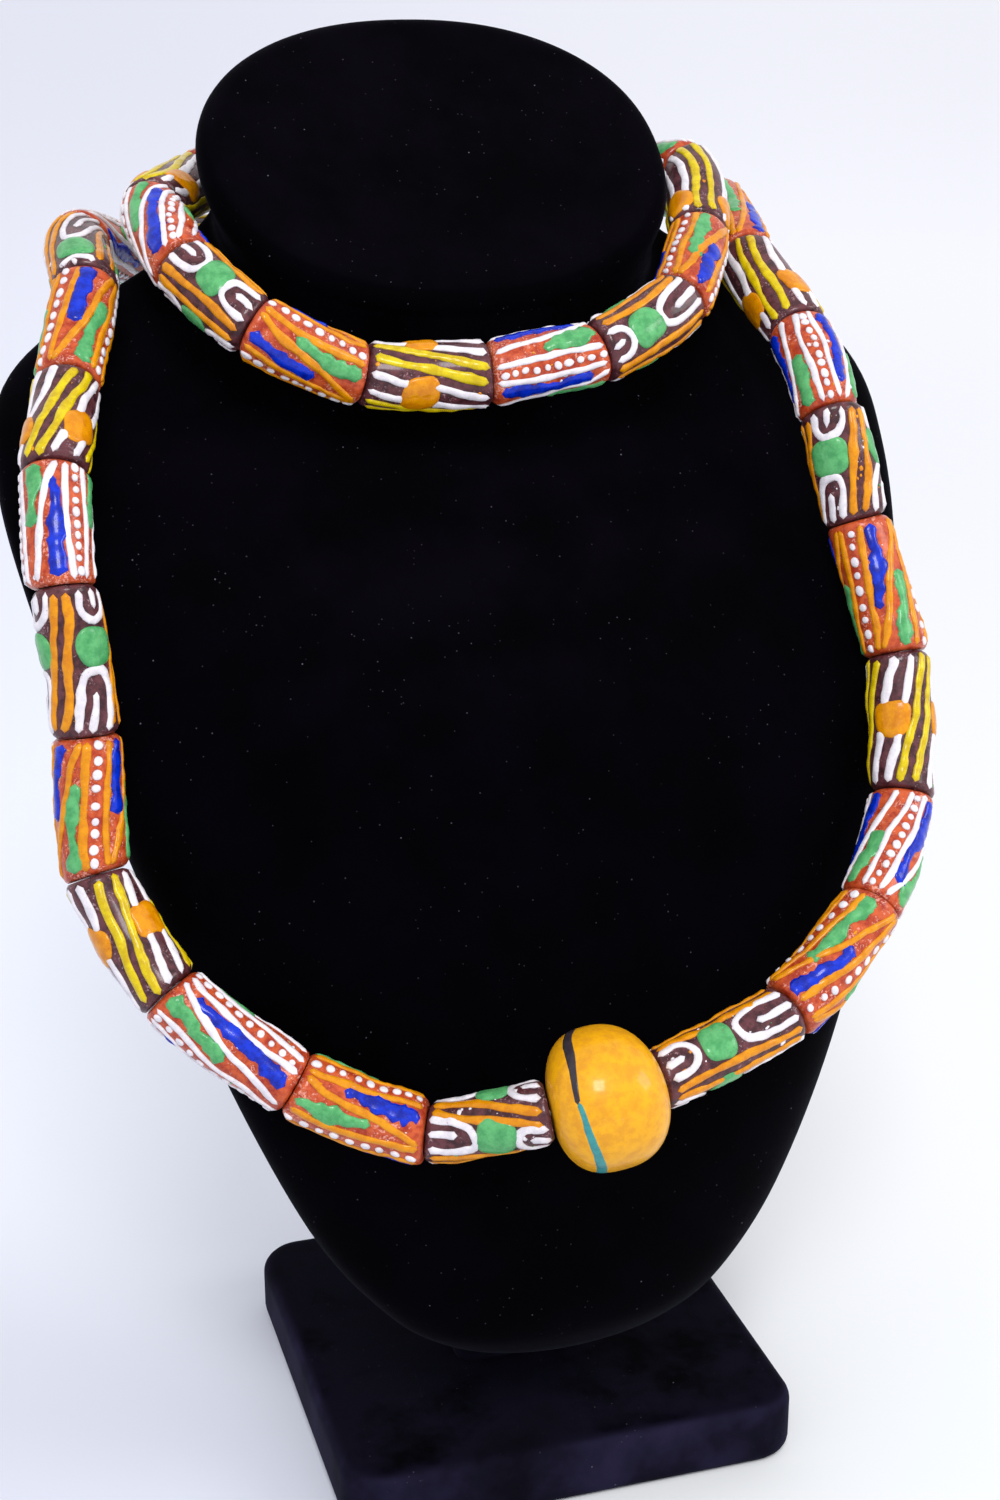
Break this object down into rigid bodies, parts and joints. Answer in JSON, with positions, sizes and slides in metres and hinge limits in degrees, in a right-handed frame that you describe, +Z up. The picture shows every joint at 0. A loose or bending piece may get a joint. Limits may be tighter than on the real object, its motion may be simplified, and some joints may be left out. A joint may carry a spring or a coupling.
{
  "type": "beaded necklace on neck bust",
  "caption": "Long loop of hand-painted tube beads with one large round bead, wound twice round a plain velvet neck bust for display.",
  "frame": {"origin": "middle of the base's flat underside, where the stand rests", "axes": "+Z up, -Y the way the chest of the bust faces, +X towards the right side in a front view"},
  "size_m": [0.206, 0.1916, 0.313],
  "materials": {
    "velvet": "black flocked velvet with a soft sheen and a little lint",
    "plum_brown_glass": "opaque moulded glass, satin, with raised hand-painted lines and spots",
    "brick_red_glass": "opaque moulded glass, satin, with raised hand-painted lines and dots",
    "ochre_glass": "opaque mottled ochre glass, satin, lightly scratched",
    "cotton_thread": "matt off-white cotton"
  },
  "bodies": {
    "root": {"base": "velvet", "post": "velvet", "bust": "velvet", "thread": "cotton_thread", "tube_bead_01": "plum_brown_glass", "tube_bead_02": "brick_red_glass", "tube_bead_03": "brick_red_glass", "tube_bead_04": "plum_brown_glass", "tube_bead_05": "brick_red_glass", "tube_bead_06": "plum_brown_glass", "tube_bead_07": "brick_red_glass", "tube_bead_08": "plum_brown_glass", "tube_bead_09": "brick_red_glass", "tube_bead_10": "plum_brown_glass", "tube_bead_11": "brick_red_glass", "tube_bead_12": "plum_brown_glass", "tube_bead_13": "brick_red_glass", "tube_bead_14": "plum_brown_glass", "tube_bead_15": "brick_red_glass", "tube_bead_16": "brick_red_glass", "tube_bead_17": "plum_brown_glass", "tube_bead_18": "brick_red_glass", "tube_bead_19": "plum_brown_glass", "tube_bead_20": "brick_red_glass", "tube_bead_21": "plum_brown_glass", "tube_bead_22": "brick_red_glass", "tube_bead_23": "plum_brown_glass", "tube_bead_24": "brick_red_glass", "tube_bead_25": "plum_brown_glass", "tube_bead_26": "brick_red_glass", "tube_bead_27": "plum_brown_glass", "tube_bead_28": "plum_brown_glass", "tube_bead_29": "brick_red_glass", "tube_bead_30": "plum_brown_glass", "tube_bead_31": "brick_red_glass", "tube_bead_32": "plum_brown_glass", "tube_bead_33": "brick_red_glass", "tube_bead_34": "plum_brown_glass", "tube_bead_35": "brick_red_glass", "tube_bead_36": "plum_brown_glass", "tube_bead_37": "brick_red_glass", "tube_bead_38": "brick_red_glass", "tube_bead_39": "plum_brown_glass", "round_bead": "ochre_glass"}
  },
  "joints": []
}
